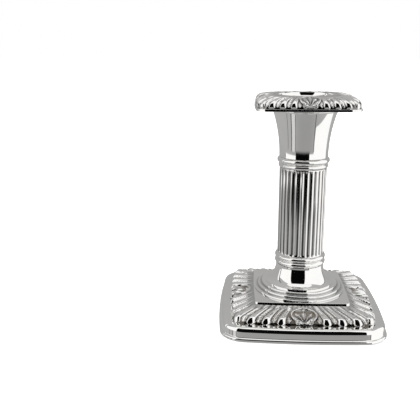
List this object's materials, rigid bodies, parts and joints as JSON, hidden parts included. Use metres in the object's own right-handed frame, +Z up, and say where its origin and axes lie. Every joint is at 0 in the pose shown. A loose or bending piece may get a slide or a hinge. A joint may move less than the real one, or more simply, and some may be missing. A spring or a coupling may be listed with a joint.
{
  "type": "candlestick",
  "caption": "Square-based short silver column candlestick with embossed borders, a fluted shaft, a trumpet capital and a lift-out square drip pan with a candle socket.",
  "frame": {"origin": "centre of the underside, on the surface the candlestick stands on", "axes": "+Z up the column, out of the candle bore; +X and +Y square to the base's sides"},
  "size_m": [0.094, 0.094, 0.128],
  "materials": {
    "silver": "polished",
    "steel": "satin",
    "filling": "matte",
    "board": "matte",
    "baize": "matte"
  },
  "bodies": {
    "stick": {"baize_pad": "baize", "base_board": "board", "base_filling": "filling", "column_filling": "filling", "tie_rod": "steel", "rod_nut": "steel", "rod_washer": "steel", "anchor_disc": "steel", "foot_moulding": "silver", "plinth_moulding": "silver", "gadroon_border": "silver", "platform_plate": "silver", "stepped_ring": "silver", "spreading_foot": "silver", "lower_collar_bottom_bead": "silver", "lower_collar_top_bead": "silver", "fluted_column": "silver", "upper_collar_bottom_bead": "silver", "upper_collar_top_bead": "silver", "capital": "silver", "capital_lip": "silver", "capital_top_plate": "silver", "socket_sleeve": "silver", "socket_floor": "silver"},
    "nozzle": {"nozzle_rim": "silver", "nozzle_pan": "silver", "nozzle_dish": "silver", "nozzle_tube": "silver", "nozzle_tube_floor": "silver", "nozzle_seat_collar": "silver"}
  },
  "joints": [
    {"name": "nozzle_lift", "type": "slide", "parent": "stick", "child": "nozzle", "axis": [0, 0, 1], "range_m": [0, 0.03]}
  ]
}
